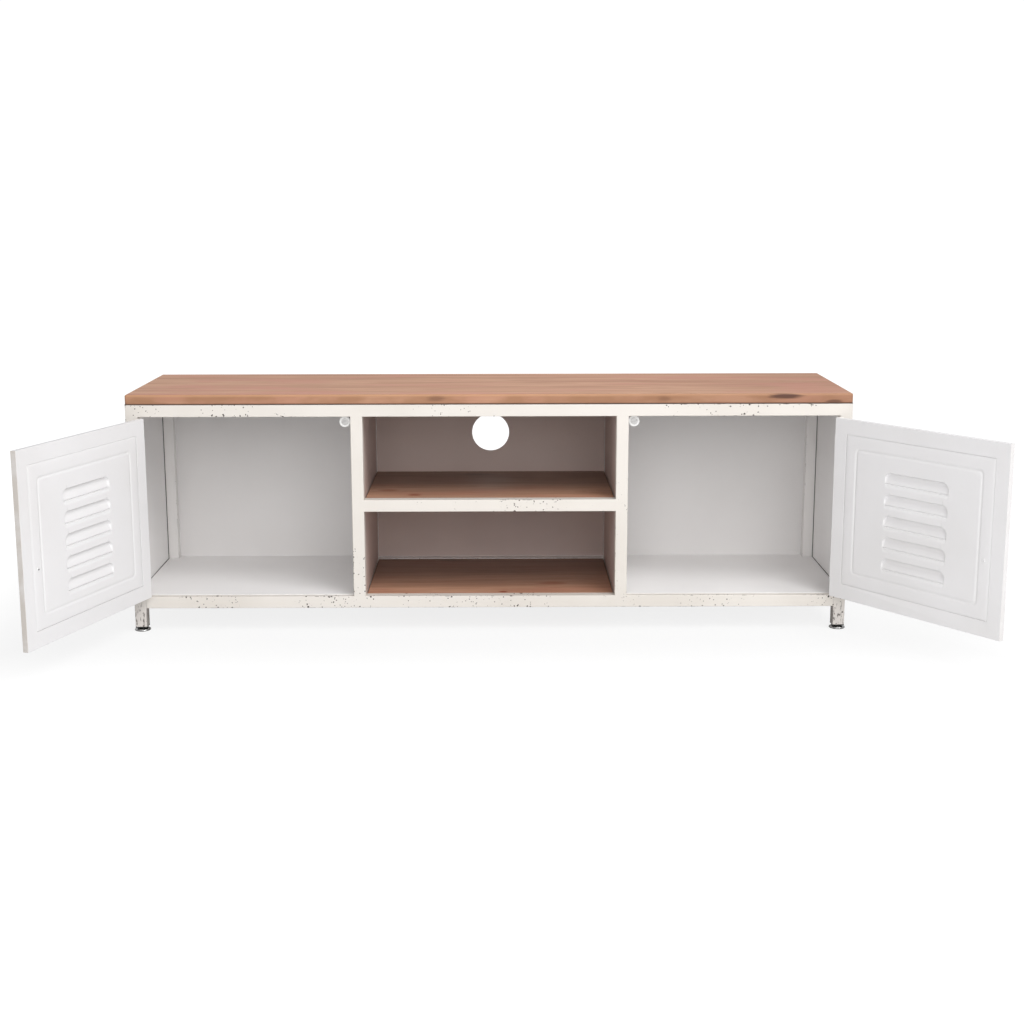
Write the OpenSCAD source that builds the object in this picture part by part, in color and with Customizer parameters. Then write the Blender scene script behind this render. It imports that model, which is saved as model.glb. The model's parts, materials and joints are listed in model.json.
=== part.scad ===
// Low sideboard buffet: a painted square-tube steel frame with sheet panels, a planked wood
// top, two open wood shelves in the middle and a louvred door on hinges at each side.
// Origin: the floor, at the centre of the footprint. +X right, +Y back, +Z up. Millimetres.

/* [Overall] */
// Width over the corner posts and the top
width = 1200; // [1100:10:1400]
// Depth over the posts and the top, without the open doors
depth = 300; // [280:10:420]
// Height from the floor to the upper face of the top
height = 402; // [380:1:480]

/* [Frame] */
// Outside size of the square tube
tube = 20; // [18:1:22]
// Wall of the square tube
tube_wall = 1.2; // [1:0.1:2]
// Thickness of the steel sheet panels
sheet = 1; // [0.8:0.1:1.2]
// Clear width of the open middle bay
middle_bay = 420; // [380:10:480]
// Height of the underside of the bottom rails above the floor
leg_clear = 40; // [35:1:60]
// Height of the underside of the middle rail above the floor
middle_rail_z = 205; // [190:1:220]

/* [Top and shelves] */
// Thickness of the wood top
top_t = 15.5; // [12:0.5:20]
// Corner radius of the wood top seen from above
top_corner_r = 5; // [2:0.5:10]
// Thickness of the steel sheet that carries the wood top
top_sheet_t = 1.5; // [1:0.1:2]
// Thickness of the shelf boards
shelf_t = 15; // [12:1:16]
// Gap between the back edge of a shelf and the front of the rear posts
shelf_back_gap = 5; // [2:1:20]

/* [Cable hole] */
// Radius of the round hole in the back sheet
cable_hole_r = 34; // [25:1:40]
// Height of the centre of the hole above the floor
cable_hole_z = 294; // [285:1:300]

/* [Doors] */
// Thickness of a door
door_t = 9; // [8:0.5:10]
// Gap between the door and the post on its hinge side
hinge_gap = 2; // [2:0.1:2.5]
// Gap between the door and the divider on its free side
free_gap = 3; // [2:0.5:5]
// Gap above the door, and below it
level_gap = 1.5; // [1.5:0.1:3]
// Angle the left door stands open
open_left = 109; // [0:1:170]
// Angle the right door stands open
open_right = 125.5; // [0:0.5:170]
// Width of the folded frame around a door
door_frame_w = 25; // [22:1:28]
// Distance of the pressed bead from the edges of the door
bead_inset = 48; // [42:1:54]
// Width of the pressed bead
bead_w = 6; // [4:0.5:7]
// Number of louvres in a door
louvres = 5; // [3:1:5]
// Length of a louvre
louvre_w = 126; // [90:2:160]
// Height of a louvre
louvre_h = 19; // [14:1:22]
// Distance from one louvre to the next
louvre_pitch = 35; // [28:1:36]
// How far the middle louvre sits below the middle of the door
louvre_drop = 4; // [0:1:8]

/* [Hinges and catches] */
// Length of a hinge
hinge_l = 40; // [30:2:50]
// Radius of the hinge knuckles
knuckle_r = 3; // [2.8:0.1:3.2]
// Radius of the hinge pin
pin_r = 1.5; // [1.2:0.1:1.6]
// Radial clearance of the hinge pin in its knuckles
pin_clear = 0.05; // [0.02:0.01:0.08]
// Radius of the round magnetic catch
catch_r = 9; // [8:0.25:9]
// Distance of the centre of the catch from the divider
catch_in = 9.5; // [9.5:0.5:18]

/* [Knobs] */
// Distance of a knob from the free edge of its door
knob_in = 37; // [33:1:40]
// Height of a knob above the floor
knob_z = 180; // [150:1:260]
// Radius of a knob
knob_r = 8; // [7:0.5:9]
// How far a knob stands out in front of the door
knob_out = 16; // [12:1:18]

/* [Feet] */
// Radius of the foot disc
foot_r = 13.5; // [12:0.5:15]
// Height of the foot and its neck under the post
foot_h = 8; // [7:0.5:10]

/* [Hidden] */
$fn = 48;

eps = 0.01;
hw = width / 2;
hd = depth / 2;
top_z = height - top_t;
rail_top_z = top_z - top_sheet_t;
top_rail_z = rail_top_z - tube;
bottom_rail_top = leg_clear + tube;
middle_rail_top = middle_rail_z + tube;
div_in = middle_bay / 2;
div_out = div_in + tube;
bay_h = top_rail_z - bottom_rail_top;

// Door in its closed place, left side
door_x0 = -hw + tube + hinge_gap;
door_x1 = -div_out - free_gap;
door_w = door_x1 - door_x0;
door_z0 = bottom_rail_top + level_gap;
door_h = bay_h - 2 * level_gap;
door_mid_z = door_z0 + door_h / 2;
door_out_y = -hd;
door_in_y = -hd + door_t;
panel_gap = 0.2;
panel_lip = 6;
panel_lip_in = 3;
bead_depth = 1.2;
bead_wall = 0.8;
louvre_out = door_t - 2;
louvre_x0 = (door_x0 + door_x1) / 2 - louvre_w / 2;
louvre_z0 = door_mid_z - louvre_drop - (louvres - 1) * louvre_pitch / 2 - louvre_h / 2;

// Knob, left side
knob_y0 = door_in_y - sheet;
knob_head_r = 3;
knob_head_h = 1.6;
knob_screw_l = 14;

// Hinge axis, left side
axis_x = -hw + tube + hinge_gap / 2;
axis_y = -hd - knuckle_r;
leaf_t = (hinge_gap - 0.2) / 2;
leaf_gap = 0.3;
knuckle_gap = 0.15;
hinge_mid = 6;
hinge_from_end = 48;
hinge_zs = [door_z0 + hinge_from_end, door_z0 + door_h - hinge_from_end];
pin_head_r = 2.2;
pin_head_h = 1;

// Catch, left side
catch_x = -div_out - catch_in;
catch_z = top_rail_z - catch_r - 0.25;
catch_y0 = door_in_y + 0.5;
catch_len = 14;
magnet_r = 6;
magnet_t = 4.3;
peg_r = 1.95;
peg_hole_r = 2;
peg_y = -hd + tube - 4;

// Screws and bearers
screw_r = 1.9;
screw_hole_r = 2.2;
screw_head_r = 3.8;
screw_head_h = 2.2;
screw_in = 10;
top_screw_xs = [-500, -300, -110, 110, 300, 500] * width / 1200;
top_screw_y = hd - 50;
bearer_w = 12;
bearer_t = 4;
bearer_y0 = -hd + tube + 2;
bearer_y1 = hd - tube - 12;
shelf_side_gap = 1.5;
shelf_screw_ys = [bearer_y0 + 35, bearer_y1 - 35];

// Feet
plug_flange = 1.5;
plug_h = 22;
stem_r = 4;
stem_clear = 0.05;
neck_r = 6;
disc_h = 4;

cream = [0.93, 0.91, 0.86];
door_white = [0.90, 0.89, 0.89];
bay_brown = [0.62, 0.56, 0.53];
sheet_black = [0.14, 0.12, 0.11];
wood_red = [0.66, 0.45, 0.34];
shelf_brown = [0.45, 0.30, 0.23];
steel = [0.72, 0.72, 0.70];
plastic_white = [0.94, 0.94, 0.92];
dark = [0.20, 0.19, 0.18];

// A square tube standing up, its outer corner at the origin
module tube_z(l) {
  difference() {
    cube([tube, tube, l]);
    translate([tube_wall, tube_wall, -1]) cube([tube - 2 * tube_wall, tube - 2 * tube_wall, l + 2]);
  }
}

// A square tube along X
module tube_x(l) {
  difference() {
    cube([l, tube, tube]);
    translate([-1, tube_wall, tube_wall]) cube([l + 2, tube - 2 * tube_wall, tube - 2 * tube_wall]);
  }
}

// A square tube along Y
module tube_y(l) {
  difference() {
    cube([tube, l, tube]);
    translate([tube_wall, -1, tube_wall]) cube([tube - 2 * tube_wall, l + 2, tube - 2 * tube_wall]);
  }
}

// The same piece on the other side
module other_side() {
  mirror([1, 0, 0]) children();
}

// A piece of the left door turned about the hinge axis to the angle the door stands open
module opened(angle) {
  translate([axis_x, axis_y, 0]) rotate([0, 0, -angle]) translate([-axis_x, -axis_y, 0]) children();
}

// ---- Wood top ----
module tabletop() {
  color(wood_red) difference() {
    translate([0, 0, top_z]) linear_extrude(height = top_t) union() {
      square([width - 2 * top_corner_r, depth], center = true);
      square([width, depth - 2 * top_corner_r], center = true);
      for (sx = [-1, 1], sy = [-1, 1])
        translate([sx * (hw - top_corner_r), sy * (hd - top_corner_r)]) circle(r = top_corner_r);
    }
    for (x = top_screw_xs, y = [-top_screw_y, top_screw_y])
      translate([x, y, top_z - 1]) cylinder(r = screw_r + eps, h = screw_in + 1 + eps);
  }
}

module top_sheet() {
  color(sheet_black) difference() {
    translate([-hw, -hd, rail_top_z]) cube([width, depth, top_sheet_t]);
    for (x = top_screw_xs, y = [-top_screw_y, top_screw_y])
      translate([x, y, rail_top_z - 1]) cylinder(r = screw_hole_r, h = top_sheet_t + 2);
  }
}

module top_screws() {
  color(steel) for (x = top_screw_xs, y = [-top_screw_y, top_screw_y])
    translate([x, y, rail_top_z]) {
      translate([0, 0, -screw_head_h]) cylinder(r = screw_head_r, h = screw_head_h);
      translate([0, 0, -eps]) cylinder(r = screw_r, h = top_sheet_t + screw_in);
    }
}

// ---- Frame of square tube ----
module post_at(x, y) {
  color(cream) translate([x, y, foot_h]) tube_z(rail_top_z - foot_h);
}
module post_front_left() { post_at(-hw, -hd); }
module post_front_right() { post_at(hw - tube, -hd); }
module post_rear_left() { post_at(-hw, hd - tube); }
module post_rear_right() { post_at(hw - tube, hd - tube); }

module long_rail(y, z) {
  color(cream) translate([-hw + tube, y, z]) tube_x(width - 2 * tube);
}
module rail_top_front() {
  difference() {
    long_rail(-hd, top_rail_z);
    for (s = [-1, 1])
      translate([s * catch_x, peg_y, top_rail_z - 1]) cylinder(r = peg_hole_r, h = tube_wall + 2);
  }
}
module rail_top_rear() { long_rail(hd - tube, top_rail_z); }
module rail_bottom_front() { long_rail(-hd, leg_clear); }
module rail_bottom_rear() { long_rail(hd - tube, leg_clear); }

module short_rail(x, z) {
  color(cream) translate([x, -hd + tube, z]) tube_y(depth - 2 * tube);
}
module rail_top_left() { short_rail(-hw, top_rail_z); }
module rail_top_right() { short_rail(hw - tube, top_rail_z); }
module rail_bottom_left() { short_rail(-hw, leg_clear); }
module rail_bottom_right() { short_rail(hw - tube, leg_clear); }
module cross_rail_top_left() { short_rail(-div_out, top_rail_z); }
module cross_rail_top_right() { short_rail(div_in, top_rail_z); }
module cross_rail_bottom_left() { short_rail(-div_out, leg_clear); }
module cross_rail_bottom_right() { short_rail(div_in, leg_clear); }

module divider_post(x, y) {
  color(cream) translate([x, y, bottom_rail_top]) tube_z(bay_h);
}
module divider_post_front_left() { divider_post(-div_out, -hd); }
module divider_post_front_right() { divider_post(div_in, -hd); }
module divider_post_rear_left() { divider_post(-div_out, hd - tube); }
module divider_post_rear_right() { divider_post(div_in, hd - tube); }

module rail_middle_front() {
  color(cream) translate([-div_in, -hd, middle_rail_z]) tube_x(middle_bay);
}

// ---- Sheet panels ----
module side_panel_left() {
  color(cream) translate([-hw, -hd + tube, bottom_rail_top]) cube([sheet, depth - 2 * tube, bay_h]);
}
module side_panel_right() { other_side() side_panel_left(); }

module divider_panel_left() {
  color(bay_brown) translate([-div_in - sheet, -hd + tube, bottom_rail_top])
    cube([sheet, depth - 2 * tube, bay_h]);
}
module divider_panel_right() { other_side() divider_panel_left(); }

module back_panel_left() {
  color(cream) translate([-hw + tube, hd - sheet, bottom_rail_top])
    cube([hw - tube - div_out, sheet, bay_h]);
}
module back_panel_right() { other_side() back_panel_left(); }

module back_panel_middle() {
  color(bay_brown) difference() {
    translate([-div_in, hd - sheet, bottom_rail_top]) cube([middle_bay, sheet, bay_h]);
    translate([0, hd + 1, cable_hole_z]) rotate([90, 0, 0]) cylinder(r = cable_hole_r, h = sheet + 2);
  }
}

module floor_left() {
  color(cream) translate([0, 0, bottom_rail_top]) union() {
    translate([-hw + sheet, -hd + tube, 0]) cube([hw - div_in - 2 * sheet, depth - 2 * tube, sheet]);
    translate([-hw + tube, -hd + door_t + 2, 0])
      cube([hw - tube - div_out, depth - door_t - 2 - sheet, sheet]);
  }
}
module floor_right() { other_side() floor_left(); }

// ---- Shelves of the middle bay ----
module shelf_board(top) {
  color(shelf_brown) difference() {
    translate([-div_in + shelf_side_gap, -hd + tube, top - shelf_t])
      cube([middle_bay - 2 * shelf_side_gap, depth - 2 * tube - shelf_back_gap, shelf_t]);
    for (s = [-1, 1], y = shelf_screw_ys)
      translate([s * (div_in - bearer_w / 2), y, top - shelf_t - 1])
        cylinder(r = screw_r + eps, h = screw_in + 1 + eps);
  }
}
module shelf_middle() { shelf_board(middle_rail_top); }
module shelf_bottom() { shelf_board(bottom_rail_top); }

module shelf_bearers() {
  color(cream) for (s = [-1, 1], top = [middle_rail_top, bottom_rail_top])
    difference() {
      translate([s * (div_in - bearer_w / 2) - bearer_w / 2, bearer_y0, top - shelf_t - bearer_t])
        cube([bearer_w, bearer_y1 - bearer_y0, bearer_t]);
      for (y = shelf_screw_ys)
        translate([s * (div_in - bearer_w / 2), y, top - shelf_t - bearer_t - 1])
          cylinder(r = screw_hole_r, h = bearer_t + 2);
    }
}

module shelf_screws() {
  color(steel) for (s = [-1, 1], y = shelf_screw_ys, top = [middle_rail_top, bottom_rail_top])
    translate([s * (div_in - bearer_w / 2), y, top - shelf_t - bearer_t]) {
      translate([0, 0, -screw_head_h]) cylinder(r = screw_head_r, h = screw_head_h);
      translate([0, 0, -eps]) cylinder(r = screw_r, h = bearer_t + screw_in);
    }
}

// ---- Magnetic catches under the top rail ----
module catch_housing_left() {
  color(plastic_white) difference() {
    union() {
      translate([catch_x, catch_y0 + catch_len, catch_z]) rotate([90, 0, 0])
        cylinder(r = catch_r, h = catch_len);
      translate([catch_x - 5, catch_y0 + 2, catch_z]) cube([10, -hd + tube - catch_y0 - 2, top_rail_z - catch_z]);
      translate([catch_x, peg_y, top_rail_z - eps]) cylinder(r = peg_r, h = tube_wall + 2);
    }
    translate([catch_x, catch_y0 + magnet_t + 0.4, catch_z]) rotate([90, 0, 0])
      cylinder(r = magnet_r + 0.03, h = magnet_t + 2);
  }
}
module catch_housing_right() { other_side() catch_housing_left(); }

module catch_magnet_left() {
  color(steel) translate([catch_x, catch_y0 + magnet_t + 0.4, catch_z]) rotate([90, 0, 0])
    cylinder(r = magnet_r, h = magnet_t);
}
module catch_magnet_right() { other_side() catch_magnet_left(); }

// ---- Feet ----
module leg_plugs() {
  color(dark) for (sx = [-1, 1], sy = [-1, 1])
    translate([sx * (hw - tube / 2), sy * (hd - tube / 2), foot_h - plug_flange]) difference() {
      union() {
        translate([-tube / 2, -tube / 2, 0]) cube([tube, tube, plug_flange]);
        translate([-tube / 2 + tube_wall + 0.05, -tube / 2 + tube_wall + 0.05, 0])
          cube([tube - 2 * tube_wall - 0.1, tube - 2 * tube_wall - 0.1, plug_h]);
      }
      translate([0, 0, -1]) cylinder(r = stem_r + stem_clear, h = plug_h + 2);
    }
}

module foot_at(sx, sy) {
  color(steel) translate([sx * (hw - tube / 2), sy * (hd - tube / 2), 0])
    rotate_extrude() polygon([[0, 0], [foot_r - 2, 0], [foot_r, 1.2], [foot_r, disc_h - 0.8],
      [foot_r - 1.2, disc_h], [neck_r, disc_h], [neck_r, foot_h - plug_flange],
      [stem_r, foot_h - plug_flange], [stem_r, foot_h + plug_h - 4], [0, foot_h + plug_h - 4]]);
}
module foot_front_left() { foot_at(-1, -1); }
module foot_front_right() { foot_at(1, -1); }
module foot_rear_left() { foot_at(-1, 1); }
module foot_rear_right() { foot_at(1, 1); }

// ---- Hinges ----
// Knuckles, each [height from, height to], joined to a leaf that stands between them
module hinge_half(spans, leaf_x, leaf_y1) {
  for (z = hinge_zs) translate([0, 0, z]) difference() {
    union() {
      translate([leaf_x, -hd + leaf_gap, -hinge_l / 2]) cube([leaf_t, leaf_y1 + hd - leaf_gap, hinge_l]);
      for (s = spans) {
        translate([axis_x, axis_y, s[0]]) cylinder(r = knuckle_r, h = s[1] - s[0]);
        translate([leaf_x, axis_y, s[0]]) cube([leaf_t, knuckle_r + leaf_gap + eps, s[1] - s[0]]);
      }
    }
    translate([axis_x, axis_y, -hinge_l]) cylinder(r = pin_r + pin_clear, h = 2 * hinge_l);
  }
}
module hinge_post_leaves_left() {
  color(cream) hinge_half([[-hinge_l / 2, -hinge_mid - knuckle_gap], [hinge_mid + knuckle_gap, hinge_l / 2]],
    -hw + tube, -hd + door_t + 3);
}
module hinge_post_leaves_right() { other_side() hinge_post_leaves_left(); }

module hinge_pins_left() {
  color(steel) for (z = hinge_zs) translate([axis_x, axis_y, z]) {
    translate([0, 0, -hinge_l / 2 - eps]) cylinder(r = pin_r, h = hinge_l + 2 * eps);
    for (s = [-1, 1]) translate([0, 0, s * (hinge_l + pin_head_h) / 2])
      cylinder(r = pin_head_r, h = pin_head_h, center = true);
  }
}
module hinge_pins_right() { other_side() hinge_pins_left(); }

module door_leaves() {
  color(door_white) hinge_half([[-hinge_mid, hinge_mid]], door_x0 - leaf_t, door_in_y - 0.5);
}
module hinge_door_leaves_left() { opened(open_left) door_leaves(); }
module hinge_door_leaves_right() { other_side() opened(open_right) door_leaves(); }

// ---- Doors ----
// A box as large as the door less a margin all round, between two depths
module door_box(margin, y0, y1) {
  translate([door_x0 + margin, y0, door_z0 + margin])
    cube([door_w - 2 * margin, y1 - y0, door_h - 2 * margin]);
}

module door_frame() {
  color(door_white) difference() {
    door_box(0, door_out_y, door_in_y);
    door_box(door_frame_w, door_out_y - 1, door_in_y + 1);
    door_box(sheet, door_out_y + sheet, door_in_y - sheet);
  }
}
module door_frame_left() { opened(open_left) door_frame(); }
module door_frame_right() { other_side() opened(open_right) door_frame(); }

// Hood of a louvre, open along its lower edge
module louvre_hood() {
  o = louvre_out;
  rotate([90, 0, 90]) linear_extrude(height = louvre_w)
    polygon([[0, louvre_h], [-sheet, louvre_h], [-o * 0.66, louvre_h * 0.74], [-o, 0],
      [-o + sheet, 0], [-o * 0.66 + sheet, louvre_h * 0.68]]);
  for (x = [0, louvre_w - sheet]) translate([x, 0, 0]) rotate([90, 0, 90])
    linear_extrude(height = sheet)
      polygon([[0, louvre_h], [-sheet, louvre_h], [-o * 0.66, louvre_h * 0.74], [-o, 0], [0, 0]]);
}

// On the knob's axis, at a depth, with +Z into the cabinet
module at_knob(y) {
  translate([door_x1 - knob_in, y, knob_z]) rotate([-90, 0, 0]) children();
}

module door_panel() {
  m = door_frame_w + panel_gap;
  color(door_white) difference() {
    union() {
      difference() {
        union() {
          door_box(m, door_in_y - sheet, door_in_y);
          difference() {
            door_box(m - panel_lip, door_in_y - 2 * sheet, door_in_y - sheet);
            door_box(m + panel_lip_in, door_in_y - 2 * sheet - 1, door_in_y + 1);
          }
          difference() {
            door_box(bead_inset - bead_w / 2, door_in_y - sheet - bead_depth, door_in_y);
            door_box(bead_inset + bead_w / 2, door_in_y - sheet - bead_depth - 1, door_in_y + 1);
          }
        }
        for (i = [0 : louvres - 1])
          translate([louvre_x0, door_in_y - sheet - 1, louvre_z0 + i * louvre_pitch])
            cube([louvre_w, sheet + 2, louvre_h]);
      }
      for (i = [0 : louvres - 1])
        translate([louvre_x0, door_in_y, louvre_z0 + i * louvre_pitch]) louvre_hood();
    }
    difference() {
      door_box(bead_inset - bead_w / 2 + bead_wall, door_in_y - bead_depth, door_in_y + 1);
      door_box(bead_inset + bead_w / 2 - bead_wall, door_in_y - bead_depth - 1, door_in_y + 2);
    }
    at_knob(door_in_y - 3 * sheet) cylinder(r = screw_hole_r, h = 4 * sheet);
  }
}
module door_panel_left() { opened(open_left) door_panel(); }
module door_panel_right() { other_side() opened(open_right) door_panel(); }

// Knobs, screwed on through the panel from inside
module door_knob() {
  l = knob_y0 - door_out_y + knob_out;
  color(steel) at_knob(knob_y0) mirror([0, 0, 1]) rotate_extrude()
    polygon([[screw_r + eps, 0], [knob_r - 1, 0], [knob_r - 1, 1.5], [4, 3], [4, l - 10], [knob_r - 1.5, l - 8],
      [knob_r, l - 5], [knob_r - 0.5, l - 2], [knob_r - 2.5, l - 0.4], [0, l], [0, l - 6],
      [screw_r + eps, l - 6]]);
}
module door_knob_left() { opened(open_left) door_knob(); }
module door_knob_right() { other_side() opened(open_right) door_knob(); }

module knob_screw() {
  color(door_white) at_knob(door_in_y) rotate_extrude()
    polygon([[0, knob_head_h], [1.4, knob_head_h], [knob_head_r, knob_head_h * 0.4], [knob_head_r, 0],
      [screw_r, 0], [screw_r, -knob_screw_l], [0, -knob_screw_l]]);
}
module knob_screw_left() { opened(open_left) knob_screw(); }
module knob_screw_right() { other_side() opened(open_right) knob_screw(); }

tabletop();
top_sheet();
top_screws();
post_front_left();
post_front_right();
post_rear_left();
post_rear_right();
rail_top_front();
rail_top_rear();
rail_bottom_front();
rail_bottom_rear();
rail_top_left();
rail_top_right();
rail_bottom_left();
rail_bottom_right();
divider_post_front_left();
divider_post_front_right();
divider_post_rear_left();
divider_post_rear_right();
cross_rail_top_left();
cross_rail_top_right();
cross_rail_bottom_left();
cross_rail_bottom_right();
rail_middle_front();
side_panel_left();
side_panel_right();
divider_panel_left();
divider_panel_right();
back_panel_left();
back_panel_middle();
back_panel_right();
floor_left();
floor_right();
shelf_middle();
shelf_bottom();
shelf_bearers();
shelf_screws();
catch_housing_left();
catch_housing_right();
catch_magnet_left();
catch_magnet_right();
leg_plugs();
foot_front_left();
foot_front_right();
foot_rear_left();
foot_rear_right();
hinge_post_leaves_left();
hinge_post_leaves_right();
hinge_pins_left();
hinge_pins_right();
door_frame_left();
door_frame_right();
door_panel_left();
door_panel_right();
hinge_door_leaves_left();
hinge_door_leaves_right();
door_knob_left();
door_knob_right();
knob_screw_left();
knob_screw_right();
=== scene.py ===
import json
import math

import bmesh
import bpy
from mathutils import Matrix, Vector


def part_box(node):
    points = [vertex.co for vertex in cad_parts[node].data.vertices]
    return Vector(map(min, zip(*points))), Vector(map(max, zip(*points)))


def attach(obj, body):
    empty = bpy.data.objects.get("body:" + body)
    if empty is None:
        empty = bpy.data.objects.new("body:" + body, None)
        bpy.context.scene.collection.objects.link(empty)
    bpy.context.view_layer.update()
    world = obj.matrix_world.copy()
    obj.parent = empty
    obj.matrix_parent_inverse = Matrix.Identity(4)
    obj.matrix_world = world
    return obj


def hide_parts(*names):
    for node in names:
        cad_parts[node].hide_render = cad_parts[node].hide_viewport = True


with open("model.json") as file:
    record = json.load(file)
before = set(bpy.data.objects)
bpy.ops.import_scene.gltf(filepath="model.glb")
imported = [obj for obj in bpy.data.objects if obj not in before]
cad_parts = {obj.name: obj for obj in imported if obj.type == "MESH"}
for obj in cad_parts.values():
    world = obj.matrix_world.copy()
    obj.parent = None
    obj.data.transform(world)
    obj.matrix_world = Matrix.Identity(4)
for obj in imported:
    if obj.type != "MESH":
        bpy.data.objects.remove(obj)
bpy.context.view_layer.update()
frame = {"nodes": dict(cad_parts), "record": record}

# ---- Camera ----
# A long lens a little above the cabinet, almost straight in front of it and tipped slightly down.
CAMERA_PLACE = Vector((0.0169, -2.7294, 0.7277))
CAMERA_TURN, CAMERA_TIP, CAMERA_ROLL = -0.443, 11.472, -0.079
CAMERA_LENS = 55.42

camera = bpy.data.objects.new("camera", bpy.data.cameras.new("camera"))
camera.data.lens = CAMERA_LENS
camera.data.sensor_width = 36
camera.matrix_world = (Matrix.Translation(CAMERA_PLACE)
                       @ Matrix.Rotation(math.radians(CAMERA_TURN), 4, "Z")
                       @ Matrix.Rotation(math.radians(90 - CAMERA_TIP), 4, "X")
                       @ Matrix.Rotation(math.radians(CAMERA_ROLL), 4, "Z"))
bpy.context.scene.collection.objects.link(camera)
bpy.context.scene.camera = camera

# ---- Floor and light ----
# A pale studio floor that runs out into a white sky. One large soft light stands high at the front
# right, a wider one straight in front fills the bays, and a weak low one lifts their undersides.
FLOOR_HALF = 40
FLOOR_BOUNCE = 0.78
FLOOR_TONE = 0.13
FLOOR_GLOW_NEAR, FLOOR_GLOW_FAR = 0.83, 1.02
FLOOR_GLOW_REACH = [(0, 0.72, 1.15), (1, 0.20, 0.70)]
SKY_GIVEN, SKY_SEEN = 0.50, 1.05
SOFT_LIGHTS = [((1.5, -1.7, 2.9), 1.6, 60), ((0.3, -3.2, 1.9), 2.4, 46), ((0.2, -3.6, 0.6), 2.0, 11)]
LIGHT_AIM = Vector((0, 0, 0.15))


def node(tree, kind, inputs=(), **settings):
    """Adds a shader node; each input is a plain value or another node's output to link."""
    made = tree.nodes.new("ShaderNode" + kind)
    for key, value in settings.items():
        setattr(made, key, value)
    for socket, value in dict(inputs).items():
        if isinstance(value, bpy.types.NodeSocket):
            tree.links.new(value, made.inputs[socket])
        else:
            made.inputs[socket].default_value = value
    return made


def ramp(tree, value, low, high, to_low=0.0, to_high=1.0):
    return node(tree, "MapRange", {"Value": value, "From Min": low, "From Max": high,
                                   "To Min": to_low, "To Max": to_high},
                interpolation_type="SMOOTHSTEP").outputs[0]


def maths(tree, what, a, b=0.0):
    return node(tree, "Math", {0: a, 1: b}, operation=what).outputs[0]


def axes(tree, vector):
    return node(tree, "SeparateXYZ", {0: vector}).outputs


def lit_and_seen(tree, output, lit, seen):
    """Lights the object with one shader and shows the camera the other, for an evenly white studio."""
    path = node(tree, "LightPath")
    mix = node(tree, "MixShader", {0: path.outputs["Is Camera Ray"], 1: lit, 2: seen})
    tree.links.new(mix.outputs[0], tree.nodes[output].inputs["Surface"])


def white_sky(tree, strength):
    return node(tree, "Background", {"Color": (1, 1, 1, 1), "Strength": strength}).outputs[0]


def matt_floor(tree, tone):
    return node(tree, "BsdfDiffuse", {"Color": (tone, tone, tone, 1)}).outputs[0]


def glowing_floor(tree, tone):
    """A matt floor whose own glow rises with distance, sideways and to the front and back."""
    away = axes(tree, node(tree, "TexCoord").outputs["Object"])
    rises = [ramp(tree, maths(tree, "ABSOLUTE", away[axis]), near, far, FLOOR_GLOW_NEAR, FLOOR_GLOW_FAR)
             for axis, near, far in FLOOR_GLOW_REACH]
    glow = node(tree, "Emission", {"Strength": maths(tree, "MAXIMUM", rises[0], rises[1])})
    return node(tree, "AddShader", {0: matt_floor(tree, tone), 1: glow.outputs[0]}).outputs[0]


bm = bmesh.new()
bmesh.ops.create_grid(bm, x_segments=1, y_segments=1, size=FLOOR_HALF)
floor_mesh = bpy.data.meshes.new("studio_floor")
bm.to_mesh(floor_mesh)
bm.free()
floor = bpy.data.objects.new("studio_floor", floor_mesh)
bpy.context.scene.collection.objects.link(floor)
floor_paint = bpy.data.materials.new("studio_floor")
floor_paint.use_nodes = True
tree = floor_paint.node_tree
lit_and_seen(tree, "Material Output", matt_floor(tree, FLOOR_BOUNCE), glowing_floor(tree, FLOOR_TONE))
floor_mesh.materials.append(floor_paint)

world = bpy.data.worlds.new("studio")
world.use_nodes = True
tree = world.node_tree
lit_and_seen(tree, "World Output", white_sky(tree, SKY_GIVEN), white_sky(tree, SKY_SEEN))
bpy.context.scene.world = world
bpy.context.scene.view_settings.view_transform = "Standard"

for number, (place, size, power) in enumerate(SOFT_LIGHTS):
    light = bpy.data.objects.new(f"soft_light_{number}", bpy.data.lights.new(f"soft_light_{number}", "AREA"))
    light.data.size = size
    light.data.energy = power
    light.location = place
    light.rotation_euler = (LIGHT_AIM - Vector(place)).to_track_quat("-Z", "Y").to_euler()
    light.visible_camera = False
    bpy.context.scene.collection.objects.link(light)

# ---- Square-tube frame ----
# Posts, rails and dividers are cold-rolled square steel tube with rounded corners, welded end to
# side, ground flush and painted a warm white, cooler and lighter at the back, the lightness being
# painted light. The paint is chipped to dark steel in patches, most of all along the corners, and the
# legs are scuffed grey near the floor, with painted shade on their inner faces there.
TUBE = 0.020
TUBE_CORNER = 0.0011
CREAM = (0.730, 0.690, 0.642, 1)
CREAM_SHADE = (0.675, 0.632, 0.580, 1)
WORN_LEG = (0.655, 0.615, 0.585, 1)
REAR_WHITE_AND_PAINTED_LIGHT = (0.860, 0.842, 0.835, 1)
CHIP = (0.030, 0.019, 0.014, 1)
LEG_X, LEG_Y = 0.5795, 0.1295
LEG_INNER_X = 0.5806
SCUFFS_START, SCUFFS_FULL = 0.060, 0.026
CHIP_SIZES = [(92, 0.68, 0.285), (185, 0.72, 0.300), (330, 0.78, 0.360)]


def blank(name, roughness, metallic=0.0):
    """Starts a material; also gives its tree, its shader and the place that its patterns follow."""
    material = bpy.data.materials.new(name)
    material.use_nodes = True
    tree = material.node_tree
    shader = tree.nodes["Principled BSDF"]
    shader.inputs["Roughness"].default_value = roughness
    shader.inputs["Metallic"].default_value = metallic
    place = tree.nodes.new("ShaderNodeTexCoord").outputs["Object"]
    return material, tree, shader, place


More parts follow.
